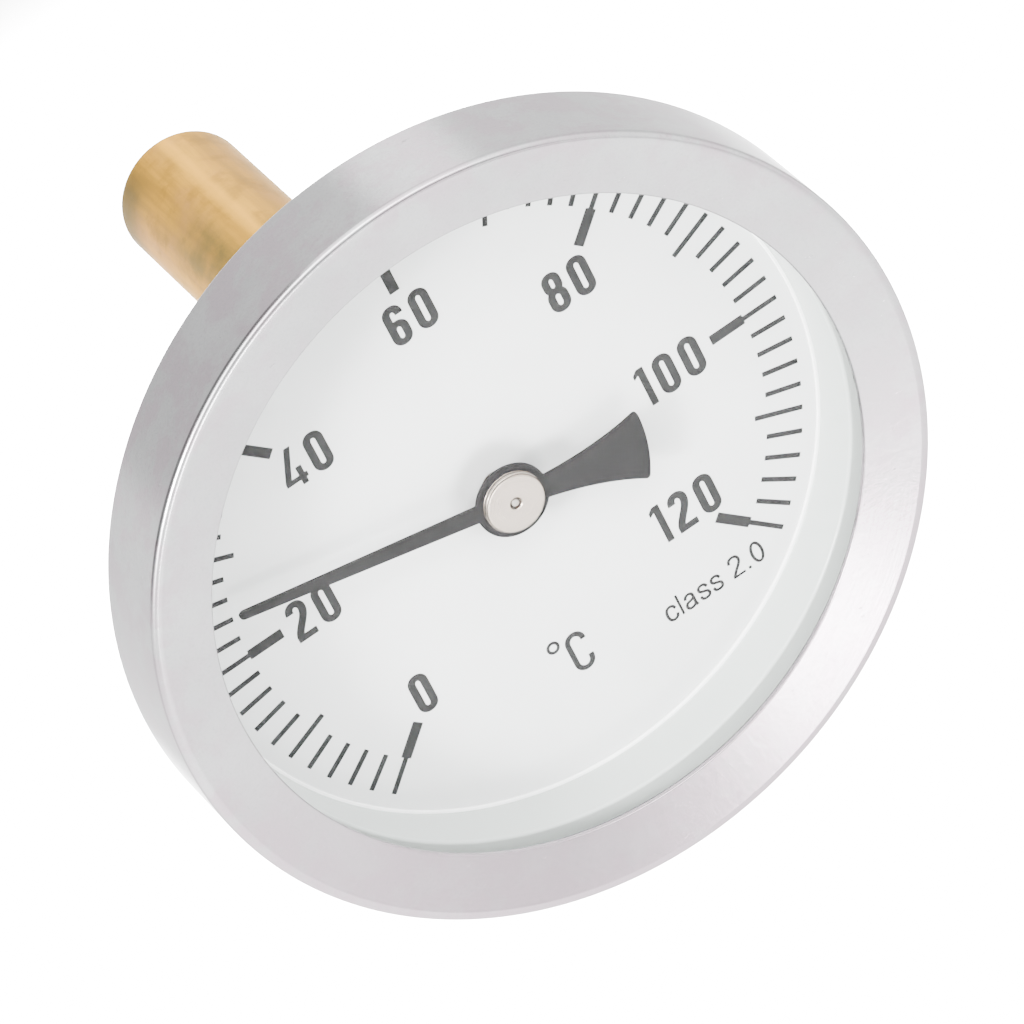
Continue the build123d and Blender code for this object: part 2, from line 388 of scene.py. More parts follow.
def pressed_steel(colour):
    """Zinc plated sheet: soft spangle and faint rings from the press tool."""
    s = Shader("pressed_steel", Metallic=1.0)
    spangle = s.noise(2.2 * MM, detail=2.0)
    grain = s.noise(0.4 * MM, detail=4.0, shift=2.0)
    shade = s.mix(spangle.step(0.35, 0.65), tint(colour, 0.88), tint(colour, 1.06))
    rough = 0.3 + 0.16 * spangle + 0.08 * grain
    height = 0.5 * grain + 0.5 * s.rings(0.3 * MM)
    return s.finish(shade, rough, height, 0.004, 0.6)


def clear_glass(colour):
    """Flat glass as a film: what is behind it shows straight through, under a mirror sheen."""
    s = Shader("clear_glass")
    s.tree.nodes.remove(s.principled)
    smear = s.noise(12 * MM, detail=3.0).step(0.35, 0.75)
    clear = s.node("ShaderNodeBsdfTransparent", {}, {"Color": colour})
    shine = s.node("ShaderNodeBsdfGlossy", {}, {"Roughness": 0.03})
    facing = s.node("ShaderNodeFresnel", {}, {"IOR": 1.45}).outputs[0]
    share = Amount(s, facing) * (0.1 + 0.04 * smear)
    mixed = s.node("ShaderNodeMixShader", {}, {0: share, 1: clear.outputs[0], 2: shine.outputs[0]})
    s.link(mixed.outputs[0], s.surface)
    return s.material


def white_plastic(colour, bead):
    """Moulded ring: glossy white with faint mould grain, a lighter bead that is a painted highlight, and a
    darker top face that is painted shade under the glass's edge.
    """
    s = Shader("white_plastic", Roughness=0.25)
    grain = s.noise(0.5 * MM, detail=3.0)
    shade = s.mix(s.noise(7 * MM), tint(colour, 0.97), colour)
    # Painted highlight: the bead at the foot is made lighter than the rest of the ring.
    shade = s.mix(s.radius().step(bead - 0.1 * MM, bead - 0.03 * MM), (0.95, 0.95, 0.95), shade)
    # Painted shade: the top face beyond the bead is made darker, under the glass's edge and the lip.
    shade = s.mix(s.radius().step(bead + 0.15 * MM, bead + 0.3 * MM), shade, tint(colour, 0.92))
    return s.feed(Base_Color=shade, Normal=s.bump(grain, 0.01 * MM, 0.4))


def dial_enamel(colour):
    """Stoved white enamel: a trace of orange peel, cloud and dust, and a painted shadow round the spindle,
    under the pointer's disc.
    """
    s = Shader("dial_enamel", Specular_IOR_Level=0.3)
    cloud = s.noise(6 * MM, detail=4.0)
    peel = s.noise(0.35 * MM, detail=2.0, shift=5.0)
    dust = s.specks(4.1 * MM, 0.028)
    shade = s.mix(cloud.step(0.3, 0.7), tint(colour, 0.975), tint(colour, 1.01))
    shade = s.mix(dust * 0.4, shade, tint(colour, 0.6))
    # Painted shadow: the enamel darkens within about 4.6 mm of the axis, where the pointer's disc shades
    # the dial.
    shade = s.mix(0.5 * (1 - s.radius().step(2.8 * MM, 4.6 * MM)), shade, tint(colour, 0.45))
    rough = 0.42 + 0.12 * cloud
    return s.finish(shade, rough, peel, 0.006, 0.5)


def printing_ink(name, colour, pinhole):
    """Matte dark grey ink or paint with soft cloud and a rare pinhole."""
    s = Shader(name, Specular_IOR_Level=0.05)
    cloud = s.noise(0.6 * MM, detail=3.0)
    holes = s.specks(2.3 * MM, pinhole)
    shade = s.mix(cloud, tint(colour, 0.9), tint(colour, 1.1))
    shade = s.mix(holes * 0.8, shade, (0.6, 0.6, 0.6))
    rough = 0.5 + 0.15 * cloud
    return s.finish(shade, rough, cloud, 0.004, 0.4)


def turned_metal(name, colour, low_rough, ring_size, tarnish, painted_groove_shade=()):
    """Turned metal: rings from the tool, tarnish in cloudy patches, and painted shade as dark rings at
    some radii.
    """
    s = Shader(name, Metallic=1.0)
    rings = s.rings(ring_size)
    cloud = s.noise(1.8 * MM, detail=4.0)
    shade = s.mix(cloud.step(0.35, 0.75), colour, tarnish)
    # Painted shade: near-black rings at the given radii, standing in for the shade down in grooves and
    # gaps.
    for middle, reach in painted_groove_shade:
        near = s.radius().band(middle - reach, middle, middle, middle + reach)
        shade = s.mix(near * 4, shade, tint(colour, 0.12))
    rough = low_rough + 0.12 * rings + 0.1 * cloud
    return s.finish(shade, rough, rings, 0.003, 0.6)


def pocket_brass(colour, pink, olive, tip):
    """Drawn brass with patina: streaks, pink patches, dark stains, darker olive blotches on the -X side
    away from the tip, dark olive on the tip's end that is partly painted shade, painted shade on the +X
    side and a painted highlight line along the top.
    """
    s = Shader("pocket_brass", Metallic=1.0)
    x, y, z = s.parts()
    drawn = s.noise(0.7 * MM, stretch=(1, 14, 1), detail=4.0, roughness=0.6)
    patch = s.noise(6.5 * MM, stretch=(1, 1.6, 1), detail=5.0, roughness=0.6, shift=4.0)
    stain = s.noise(3.2 * MM, detail=5.0, roughness=0.65, shift=9.0)
    fine = s.noise(0.35 * MM, detail=3.0, shift=2.0)
    shade = s.mix(drawn.step(0.3, 0.7), tint(colour, 0.82), tint(colour, 1.1))
    shade = s.mix(patch.step(0.45, 0.75) * 0.8, shade, pink)
    shade = s.mix(stain.step(0.45, 0.7) * 0.7, shade, tint(colour, 0.55))
    low_side = x.band(-5.2 * MM, -4.4 * MM, -2.6 * MM, -0.6 * MM)
    deep = (1 - y.step(tip - 17 * MM, tip - 6 * MM)) * low_side * (0.55 + 0.45 * stain.step(0.3, 0.6))
    shade = s.mix(deep * 0.85, shade, tint(olive, 1.2))
    # Partly painted shade: dark olive on the -X side of the tip's end, where the rounded end turns away
    # from the light.
    end = y.step(tip - 6.5 * MM, tip - 1.5 * MM) * (1 - x.step(-4.2 * MM, -1.6 * MM))
    shade = s.mix(end * (0.75 + 0.25 * stain), shade, tint(olive, 0.75))
    # Painted shade: the +X side is made darker.
    shade = s.mix(x.step(0.8 * MM, 3.5 * MM) * 0.3, shade, tint(colour, 0.5))
    # Painted highlight: a lighter line along the top of the pocket.
    painted_highlight = x.band(-0.6 * MM, 0.2 * MM, 0.4 * MM, 1.3 * MM) * z.step(0, MM)
    shade = s.mix(painted_highlight * (0.4 + 0.6 * drawn), shade, tint(colour, 1.35))
    rough = 0.3 + 0.1 * drawn + 0.2 * patch + 0.08 * fine
    height = 0.7 * drawn + 0.5 * fine
    return s.finish(shade, rough, height, 0.008, 0.6)


def matte_solid(name, colour, rough, grain_size):
    """Rubber, acetal or fibre: one colour with soft cloud and a grain."""
    s = Shader(name)
    cloud = s.noise(2.5 * MM, detail=3.0)
    grain = s.noise(grain_size, detail=4.0, shift=1.0)
    shade = s.mix(cloud, tint(colour, 0.85), tint(colour, 1.15))
    roughness = rough + 0.1 * grain
    return s.finish(shade, roughness, grain, 0.02, 0.5)


def bimetal(colour):
    """Rolled strip: grey steel side and warmer brass side, with fine rolling lines."""
    s = Shader("bimetal", Metallic=1.0)
    inner = s.radius().step(2.95 * MM, 3.05 * MM)
    lines = s.noise(0.2 * MM, stretch=(8, 1, 8), detail=3.0)
    shade = s.mix(inner, colour, (0.62, 0.5, 0.32))
    return s.finish(shade, 0.3 + 0.2 * lines, lines, 0.003)


# --- settings ---

def length(name, description, millimetres):
    """Length setting, given in millimetres and kept in metres."""
    settings = {"default": millimetres * MM, "unit": "LENGTH", "precision": 5}
    return FloatProperty(name=name, description=description, **settings)


def shade_of(name, description, colour):
    """Colour setting."""
    settings = {"default": colour, "subtype": "COLOR", "min": 0, "max": 1}
    return FloatVectorProperty(name=name, description=description, **settings)


def amount(name, description, default):
    """Plain number setting."""
    return FloatProperty(name=name, description=description, default=default)


def turn_of(name, description, degrees):
    """Angle setting, given in degrees and kept in radians."""
    return FloatProperty(name=name, description=description, default=radians(degrees), unit="ROTATION")


class CaseSettings(bpy.types.PropertyGroup):
    """Sizes and colours of the ring, pot, glass and spacer"""

    window: length("Window radius", "Radius of the opening in the bezel ring", 26.4)
    lip_height: length("Lip height", "Height of the ring's inner edge over the dial", 7.8)
    lip: length("Lip thickness", "Thickness of the ring's inner edge", 0.4)
    corner_height: length("Corner height", "Height of the ring's front corner over the dial", 8.7)
    corner: length("Corner radius", "Radius of the ring's front corner", 0.5)
    band: length("Band", "Width of the flat band inside the round corner", 0.25)
    wall: length("Ring wall", "Thickness of the ring's side wall", 0.9)
    pot_wall: length("Pot wall", "Thickness of the pressed pot", 0.6)
    bead: length("Spacer bead", "Size of the bead round the spacer's foot", 0.3)
    pot_corner: length("Pot corner", "Outer radius of the pot's back corner", 3.2)
    bead_inner: length("Bead inner radius", "Inner radius of the bead that carries the dial", 23.5)
    bead_outer: length("Bead outer radius", "Outer radius of the bead that carries the dial", 26.5)
    metal: shade_of("Ring metal", "Colour of the bezel ring", (0.35, 0.35, 0.355))
    blush: shade_of("Ring blush", "Colour of the ring's warmer patches", (0.335, 0.28, 0.31))
    pot_metal: shade_of("Pot metal", "Colour of the pressed pot", (0.36, 0.36, 0.37))
    glass: shade_of("Glass", "Tint of the window", (0.992, 0.995, 0.992))
    # The spacer's grey-green is white plastic darkened and tinted as painted shade for the cavity under
    # the glass's edge.
    spacer: shade_of("Spacer", "Colour of the ring inside the window", (0.45, 0.48, 0.465))


class DialSettings(bpy.types.PropertyGroup):
    """Sizes and colours of the dial and its printing"""

    mark_outer: length("Mark outer radius", "Outer end of every scale mark", 25.3)
    mark_inner: length("Mark inner radius", "Inner end of the shortest marks", 22.3)
    ten_inner: length("Ten mark inner radius", "Inner end of the marks at odd tens", 21.3)
    block_inner: length("Block inner radius", "Inner end of the thick marks at twenties", 19.33)
    mark_width: length("Mark width", "Width of a thin mark", 0.41)
    block_width: length("Block width", "Width of a thick mark", 0.86)
    step: IntProperty(name="Step", description="Degrees C between marks", default=2)
    figure_height: length("Figure height", "Height of the numbers", 3.54)
    stroke: length("Stroke", "Width of the upright strokes of the numbers", 0.64)
    fine_stroke: length("Fine stroke", "Width of the strokes of the small note", 0.24)
    ink_depth: length("Ink depth", "How far the printing stands off the dial", 0.02)
    enamel: shade_of("Enamel", "Colour of the dial", (0.655, 0.66, 0.665))
    ink: shade_of("Ink", "Colour of the printing", (0.0185, 0.018, 0.0185))


class PointerSettings(bpy.types.PropertyGroup):
    """Sizes and colours of the pointer, hub and cap"""

    tip: length("Tip radius", "Distance from the axis to the pointer's tip", 22.5)
    arm: length("Arm half width", "Half width of the arm at the disc", 0.75)
    arm_tip: length("Tip half width", "Half width of the arm at its tip", 0.37)
    disc: length("Disc radius", "Radius of the disc under the cap", 2.97)
    tail: length("Tail radius", "Distance from the axis to the tail's end", 11.3)
    neck: length("Tail neck", "Half width of the tail at the disc", 0.95)
    spread: turn_of("Tail spread", "Angle of the tail's end, seen from the axis", 29.5)
    corner: length("Tail corner", "Radius of the tail's two corners", 0.4)
    edge: length("Stamped edge", "Rounding of the stamped edge", 0.07)
    spigot: length("Spigot radius", "Radius of the hub's spigot in the blade and cap", 1.0)
    hole: length("Hole radius", "Radius of the hole in the middle of the cap", 0.47)
    paint: shade_of("Paint", "Colour of the pointer", (0.0125, 0.012, 0.0125))
    nickel: shade_of("Nickel", "Colour of the hub and cap", (0.43, 0.365, 0.315))


class PocketSettings(bpy.types.PropertyGroup):
    """Sizes and colours of the pocket and its screw"""

    across_flats: length("Across flats", "Width of the hexagon", 24.0)
    thread: length("Thread radius", "Outside radius of the thread", 10.4775)
    pitch: length("Pitch", "Pitch of the thread", 1.814)
    thread_depth: length("Thread depth", "Depth of the thread", 1.162)
    thread_length: length("Thread length", "Length of the thread past the washer", 12.5)
    relief: length("Relief radius", "Radius of the groove behind the hexagon", 9.0)
    shank: length("Shank radius", "Outside radius of the shank", 5.45)
    bore: length("Bore radius", "Radius of the bore that takes the stem", 4.6)
    screw: length("Screw radius", "Outside radius of the clamp screw", 2.0)
    screw_pitch: length("Screw pitch", "Pitch of the clamp screw", 0.7)
    slot: length("Slot width", "Width of the clamp screw's slot", 0.6)
    brass: shade_of("Brass", "Colour of the pocket", (0.56, 0.29, 0.022))
    pink: shade_of("Pink patina", "Colour of the pink patches", (0.53, 0.26, 0.08))
    # The olive is laid on the tip's end on the -X side, partly as painted shade, and in blotches on the
    # shank's -X side away from the tip.
    olive: shade_of("Olive patina", "Colour of the stained end", (0.16, 0.115, 0.03))


class StageSettings(bpy.types.PropertyGroup):
    """Camera, room and lamps"""

    azimuth: turn_of("Azimuth", "Direction of view, turned right from looking along +Y", 11.18)
    elevation: turn_of("Elevation", "Height of the camera above the horizon", 34.87)
    roll: turn_of("Roll", "Turn of the camera about its own axis", 27.85)
    distance: length("Distance", "Camera to the middle of the view", 628.6)
    lens: FloatProperty(name="Lens", description="Focal length in mm", default=300.0, unit="CAMERA")
    floor: length("Floor", "Depth of the floor under the stem's axis", 500.0)
    room: amount("Room", "Brightness of the white walls", 4.6)
    ceiling: amount("Ceiling", "Brightness straight overhead", 8.5)
    corner: amount("Dim corner", "Brightness behind, on the left", 1.8)
    left: amount("Left lamp", "Watts of the lamp on the left", 48.0)
    low: amount("Low lamp", "Watts of the low front lamp", 7.0)
    rear: amount("Rear lamp", "Watts of the lamp behind", 0.8)
    strip: amount("Strip", "Brightness of the strip above the camera", 24.0)
    backdrop: amount("Backdrop lamp", "Watts on the floor in view", 900.0)


class ThermometerSettings(bpy.types.PropertyGroup):
    """All the settings, one group for each operator that reads any"""

    case: PointerProperty(type=CaseSettings)
    dial: PointerProperty(type=DialSettings)
    pointer: PointerProperty(type=PointerSettings)
    pocket: PointerProperty(type=PocketSettings)
    stage: PointerProperty(type=StageSettings)


# --- case ---

def bezel_ring(p):
    """Ring section: side wall, round corner, narrow flat band, face sloping to the lip, flat seat."""
    _, rim, radius = span("bezel_ring")
    top, seat = above(p.corner_height), above(p.lip_height - p.lip)
    corners = [
        (radius, rim, 0.25 * MM),
        (radius, top, p.corner),
        (radius - p.corner - p.band, top, 0.3 * MM),
        (p.window, above(p.lip_height), 0.12 * MM),
        (p.window, seat, 0.08 * MM),
        (radius - p.wall, seat, 0.3 * MM),
        (radius - p.wall, rim, 0.2 * MM),
    ]
    return turned("bezel_ring_surface", corners, 512, steps=8)


def case_pot(p):
    """Cup section: floor, pressed bead, corner, side wall and rim inside, then the same outside."""
    rim, hind, radius = span("case_pot")
    floor, ledge, t = hind - p.pot_wall, back("dial_plate"), p.pot_wall
    hole, slope = outer("stem_boss") * 0.75 + 0.05 * MM, 0.2 * MM
    small, large = 0.15 * MM, 0.3 * MM
    corners = [
        (hole, floor, small),
        (p.bead_inner - slope, floor, small),
        (p.bead_inner, ledge, small),
        (p.bead_outer, ledge, small),
        (p.bead_outer + slope, floor, small),
        (radius - t, floor, p.pot_corner - t),
        (radius - t, rim, small),
        (radius, rim, small),
        (radius, hind, p.pot_corner),
        (p.bead_outer + slope - t, hind, large),
        (p.bead_outer - t, ledge + t, small),
        (p.bead_inner + t, ledge + t, small),
        (p.bead_inner - slope + t, hind, large),
        (hole, hind, small),
    ]
    return turned("case_pot_surface", corners, 384, steps=8)


def plain_ring(name, node, inner, edge, segments=256, gap=0):
    """Ring with the node's outer radius, every edge rounded, and a gap at each end."""
    start, end, radius = span(node)
    sides = ((inner, start + gap), (radius, start + gap), (radius, end - gap), (inner, end - gap))
    return turned(name, [(*side, edge) for side in sides], segments)


def spacer_ring(p):
    """Ring with a fine bead round its foot, where it sits on the dial, and a rounded top edge."""
    top, foot, radius = span("spacer_ring")
    top += 0.04 * MM
    bead, level = p.window + p.bead, foot - p.bead
    corners = [
        (p.window, foot, 0),
        (p.window, level, 0.1 * MM),
        (bead, level, 0.08 * MM),
        (bead, top, 0.25 * MM),
        (radius, top, 0.2 * MM),
        (radius, foot, 0.2 * MM),
    ]
    return turned("spacer_ring_wall", corners, 384)


def window_glass():
    """Flat disc with a ground arris round both faces."""
    start, end, radius = span("window_glass")
    arris, soft = 0.2 * MM, 0.05 * MM
    corners = [
        (0, start, 0),
        (radius - arris, start, soft),
        (radius, start + arris, soft),
        (radius, end - arris, soft),
        (radius - arris, end, soft),
        (0, end, 0),
    ]
    return turned("window_glass_surface", corners, closed=False)


# --- dial printing ---

def on_dial(flat, height):
    """Puts (across, up) points on the dial at a height over its face."""
    flat, height = np.asarray(flat, float), np.asarray(height, float)
    height = np.broadcast_to(height, flat.shape[:-1])
    return np.stack([flat[..., 0], above(height), flat[..., 1]], -1)


def plate(corners, depth):
    """Thin plate on a four-cornered outline: a one-quad top, and walls down into the dial."""
    corners = np.asarray(corners, float)
    top, foot = on_dial(corners, depth), on_dial(corners, 0)
    return (np.stack([foot, top]), False, True, True)


def stroke_of(path, wide, level, depth, closed=False):
    """Ribbon along a path of (across, up) points.

    Its half width is set off square to the path, and goes from the level stroke's to the
    upright stroke's with how steeply the path runs.
    """
    path = np.asarray(path, float)
    if closed:
        around_ends = np.concatenate([path[-1:], path, path[:1]])
        run = around_ends[2:] - around_ends[:-2]
    else:
        run = np.gradient(path, axis=0)
    run /= np.linalg.norm(run, axis=1, keepdims=True)
    half = (level + (wide - level) * np.abs(run[:, 1:])) / 2
    side = np.stack([-run[:, 1], run[:, 0]], -1) * half
    left, right = path + side, path - side
    rows = [on_dial(left, 0), on_dial(left, depth), on_dial(right, depth), on_dial(right, 0)]
    return (np.stack(rows, 1), closed, True, not closed)


def arc(x, z, rx, rz, start, end, count=14):
    """Points of an ellipse from one angle to another, in degrees from +x towards up."""
    angle = np.radians(np.linspace(start, end, count))
    return np.stack([x + rx * np.cos(angle), z + rz * np.sin(angle)], -1)


def bezier(*knots, count=16):
    """Cubic curve: each knot weighted by the binomial powers of t and 1 - t."""
    t = np.linspace(0, 1, count)[:, None]
    a, b, c, d = (np.asarray(k, float) for k in knots)
    return a * (1 - t) ** 3 + 3 * b * t * (1 - t) ** 2 + 3 * c * t ** 2 * (1 - t) + d * t ** 3


def loop(x, low, high, half):
    """Closed upright stadium between two heights, its ends half circles of the half width."""
    top = arc(x, high - half, half, half, 0, 180)
    return np.concatenate([top, arc(x, low + half, half, half, 180, 360)])


def block(left, right, low, high):
    """Mark drawn as an upright block: its four corners, in millimetres."""
    return [(left, low), (right, low), (right, high), (left, high)]


def figure_marks(height, stroke):
    """Blocks and ribbons of the condensed figures, in millimetres, centred on x, standing on z = 0.

    A ribbon is (path, width of its upright strokes, width of its level strokes, closed).
    """
    h, w = height / MM, stroke / MM
    level = w * 0.86
    edge, half = level / 2, (WIDTHS["0"] - w) / 2
    shoulder, bend, waist = h - edge - half, half - 0.015, 1.88
    c_half, c_level = 0.66, 0.4
    c_top = h + 0.06 - c_level / 2
    two = [
        [(-half, h - 0.94), (-half, shoulder - 0.02)],
        arc(0, shoulder, half, half, 180, 0),
        bezier((half, shoulder - 0.1), (half, shoulder - 0.95), (-0.5, 1.15), (-0.56, 0.36)),
    ]
    six = [
        [(bend, h - 0.94), (bend, shoulder - 0.02)],
        arc(0, shoulder, bend, bend, 0, 180),
        [(-bend, edge + bend)],
    ]
    letter = [
        [(c_half, h - 0.92), (c_half, c_top - c_half - 0.02)],
        arc(0, c_top - c_half, c_half, c_half, 0, 180),
        arc(0, c_level / 2 + c_half, c_half, c_half, 180, 360),
        [(c_half, c_level / 2 + c_half + 0.02), (c_half, 1.1)],
    ]
    return {
        "0": [(loop(0, edge, h - edge, half), w, level, True)],
        "1": [
            block(-0.09, 0.485, 0, h),
            [(-0.485, h - 0.76), (-0.09, h - 0.5), (-0.09, h), (-0.485, h - 0.38)],
        ],
        "2": [(np.concatenate(two), w, level, False), block(-0.845, 0.83, 0, level)],
        "4": [
            [(-0.94, 0.84), (-0.4, 0.84), (0.66, h), (0.12, h)],
            block(-0.94, 0.94, 0.47, 0.88),
            block(0.26, 0.74, 0, 1.64),
        ],
        "6": [(np.concatenate(six), w, level, False), (loop(0, edge, 1.9, bend), w, level, True)],
        "8": [
            (loop(0, waist, h - edge, 0.475), w * 0.98, level, True),
            (loop(0, edge, waist - 0.02, 0.53), w, level, True),
        ],
        "C": [(np.concatenate(letter), 0.44, c_level, False)],
        "degree": [(arc(0, 0, 0.43, 0.43, 0, 337.5, 32), 0.25, 0.25, True)],
    }


def place(marks, x, z, depth):
    """Skins of a figure's marks with its foot's middle at x, z, each a hair higher than the last."""
    made = []
    for i, mark in enumerate(marks):
        high = depth * (1 + 0.15 * i)
        if isinstance(mark, tuple):
            path, wide, level, closed = mark
            path = (np.asarray(path) + (x, z)) * MM
            made.append(stroke_of(path, wide * MM, level * MM, high, closed))
        else:
            made.append(plate((np.asarray(mark) + (x, z)) * MM, high))
    return made


def number(marks, text, x, z, depth):
    """Skins of a number centred on x: the figures' widths and equal gaps laid side by side."""
    widths = [WIDTHS[c] for c in text]
    left = x - (sum(widths) + GAP * (len(text) - 1)) / 2
    made = []
    for c, width in zip(text, widths):
        made += place(marks[c], left + width / 2, z, depth)
        left += width + GAP
    return made


# Width of each figure and the gap between two, in millimetres.
WIDTHS = {"0": 1.69, "1": 0.97, "2": 1.69, "4": 1.87, "6": 1.66, "8": 1.6}
GAP = 0.6

# Middle of each number, in millimetres across and up from the axis.
NUMBERS = (
    ("0", -12.3, -11.7),
    ("20", -16.55, 0.05),
    ("40", -11.75, 11.6),
    ("60", 0.15, 16.8),
    ("80", 11.75, 11.4),
    ("100", 15.6, -0.15),
    ("120", 11.9, -11.3),
)
DEGREE_AT = (-2.02, -15.08)
LETTER_AT = (-0.3, -18.5)

# Letters of the note with the middle of each, and the line that they stand on.
NOTE = (
    ("c", 7.27),
    ("l", 8.08),
    ("a", 8.97),
    ("s", 10.21),
    ("s", 11.39),
    ("2", 13.26),
    (".", 14.24),
    ("0", 15.22),
)
NOTE_LINE = -19.36


def scale_angle(reading):
    """Angle of a reading, clockwise from the top of the dial."""
    return reading / SCALE_MAX * SWEEP - SWEEP / 2


def scale_marks(p):
    """Radial bars: four corners each, half a width to each side of the reading's direction."""
    bars = []
    for reading in range(0, SCALE_MAX + 1, p.step):
        thick = reading % 20 == 0
        inner = p.ten_inner if reading % 10 == 0 and not thick else p.mark_inner
        bars.append((reading, inner, p.mark_outer, p.mark_width))
        if thick:
            bars.append((reading, p.block_inner, p.mark_inner, p.block_width))
    reading, near, far, width = np.array(bars).T[..., None]
    angle = scale_angle(reading)
    out = np.concatenate([np.sin(angle), np.cos(angle)], 1)
    side = np.concatenate([np.cos(angle), -np.sin(angle)], 1) * width / 2
    sides = (out * near - side, out * near + side, out * far + side, out * far - side)
    return skin("scale_marks", [plate(c, p.ink_depth) for c in np.stack(sides, 1)], smooth_angle=35)


def curve(*knots):
    """Smooth line through the knots: cubics whose slope at a knot is half its neighbours' gap."""
    knots = np.asarray(knots, float)
    slope = np.gradient(knots, axis=0) / 3
    runs = []
    for a, b, leave, arrive in zip(knots, knots[1:], slope, slope[1:]):
        runs.append(bezier(a, a + leave, b - arrive, b, count=7)[:-1])
    return np.concatenate(runs + [knots[-1:]])


# The note's plain letters, 1.9 high: centre lines, and blocks for the straight parts.
LETTERS = {
    "c": [curve(
        (0.41, 0.93), (0.28, 1.2), (0, 1.3), (-0.3, 1.14), (-0.41, 0.69), (-0.3, 0.22), (0, 0.07),
        (0.3, 0.19), (0.42, 0.46),
    )],
    "l": [block(-0.1, 0.1, 0, 1.9)],
    "a": [
        curve(
            (-0.37, 0.95), (-0.25, 1.2), (0.02, 1.3), (0.28, 1.18), (0.33, 0.85), (0.33, 0.3),
            (0.43, 0.01),
        ),
        curve(
            (0.33, 0.8), (0.05, 0.7), (-0.3, 0.6), (-0.43, 0.34), (-0.3, 0.11), (-0.04, 0.07),
            (0.25, 0.2), (0.33, 0.42),
        ),
    ],
    "s": [curve(
        (0.38, 0.96), (0.26, 1.2), (0, 1.3), (-0.28, 1.2), (-0.36, 1.0), (-0.25, 0.8), (0.05, 0.69),
        (0.31, 0.56), (0.38, 0.34), (0.28, 0.14), (0, 0.07), (-0.28, 0.15), (-0.4, 0.42),
    )],
    "2": [
        curve(
            (-0.45, 1.36), (-0.33, 1.7), (0, 1.82), (0.33, 1.7), (0.43, 1.35), (0.27, 1.0),
            (-0.1, 0.58), (-0.42, 0.16),
        ),
        block(-0.53, 0.55, 0, 0.18),
    ],
    "0": [arc(0, 0.95, 0.43, 0.87, 0, 360, 40)],
    ".": [block(-0.12, 0.12, 0, 0.22)],
}


def accuracy_note(p):
    """The note's letters side by side, each a ribbon or a block on the dial."""
    wide, grids = p.fine_stroke / MM, []
    for letter, across in NOTE:
        marks = [m if isinstance(m, list) else (m, wide, wide * 0.9, False) for m in LETTERS[letter]]
        grids += place(marks, across, NOTE_LINE, p.ink_depth)
    return skin("accuracy_note", grids, smooth_angle=35)


# --- pointer ---

def quarter(radius, s):
    """Half chord of a circle at s from its middle, and 0 beyond it."""
    return np.sqrt(np.maximum(radius ** 2 - s ** 2, 0))


def pointer_half_width(p, s):
    """Half width of the pointer at s along its length, the tip being +s.

    The arm tapers evenly to a half circle. The tail widens as the square of the distance from
    its neck, up to the corner that its spread gives, and the disc is a circle over both.
    """
    corner_s, corner_w = p.tail * cos(p.spread / 2), p.tail * sin(p.spread / 2)
    arm_end = p.tip - p.arm_tip
    arm = p.arm + (p.arm_tip - p.arm) * np.clip(s / arm_end, 0, 1)
    arm = np.where(s > arm_end, quarter(p.arm_tip, np.clip(s - arm_end, 0, p.arm_tip)), arm)
    flare = np.clip((-s - 0.8 * p.disc) / (corner_s - 0.8 * p.disc), 0, 1.3)
    tail = p.neck + (corner_w - p.neck) * (0.35 * flare + 0.65 * flare ** 2)
    tail -= p.corner - quarter(p.corner, np.clip(-s - (p.tail - p.corner), 0, p.corner))
    return np.maximum(np.where(s > 0, arm, tail), quarter(p.disc, s))


def pointer_blade(p):
    """Flat blade: a section with rounded edges carried along the pointer's length.

    Towards the tail's end the sections bow into arcs about the axis, and at both ends the
    section closes on its middle line.
    """
    top, foot = front("pointer"), back("pointer")
    middle, half_t = (top + foot) / 2, (foot - top) / 2
    s = np.unique(np.concatenate([
        p.tip - p.arm_tip * (1 - np.cos(np.linspace(0, pi / 2, 12))),
        -p.tail + p.corner * (1 - np.cos(np.linspace(0, pi / 2, 10))),
        np.linspace(-p.tail + p.corner, p.tip - p.arm_tip, 140),
        np.linspace(-p.disc * 1.3, p.disc * 1.3, 160),
    ]))
    s = np.concatenate([s[:1], s[:1], s, s[-1:]])[:, None]
    share = np.ones_like(s)
    share[0], share[1], share[-1] = 0, 1 - p.edge / half_t, 0
    turn, lanes = np.linspace(-pi / 2, pi / 2, 7), np.linspace(-1, 1, 9)[1:-1]
    edge = min(p.edge, half_t)
    across = np.concatenate([-1 + 0 * turn, lanes, 1 + 0 * turn, lanes[::-1]])
    inset = np.concatenate([1 - np.cos(turn), 0 * lanes, 1 - np.cos(turn[::-1]), 0 * lanes])
    raised = np.sin(turn) * edge + np.sign(turn) * (half_t - edge)
    flat = np.full(lanes.shape, half_t)
    rise = np.concatenate([raised, flat, raised[::-1], -flat])
    x = across * np.maximum(pointer_half_width(p, s) - np.abs(across) * inset * edge, 0)
    bow = np.clip((-s - 0.45 * p.tail) / (0.55 * p.tail), 0, 1) ** 2
    along = s + bow * (p.tail - quarter(p.tail, x))
    angle = READING - SWEEP / 2
    world_x, world_z = along * sin(angle) + x * cos(angle), along * cos(angle) - x * sin(angle)
    points = np.stack([world_x, middle - rise * share, world_z], -1)
    return skin("pointer_blade", [(points, False, True, False)], smooth_angle=40)


def pointer_hub(p):
    """Turned bush with a spigot that takes the blade."""
    tip, foot, radius = span("pointer_hub")
    seat, bore, pivot, fine = back("pointer"), 0.6 * MM, 0.34 * MM, 0.03 * MM
    corners = [
        (bore, foot, 0.05 * MM),
        (radius, foot, 0.15 * MM),
        (radius, seat, 0.05 * MM),
        (p.spigot, seat, fine),
        (p.spigot, tip, fine),
        (pivot, tip, fine),
        (pivot, seat, fine),
        (bore, seat, fine),
    ]
    return turned("pointer_hub_surface", corners, 128)


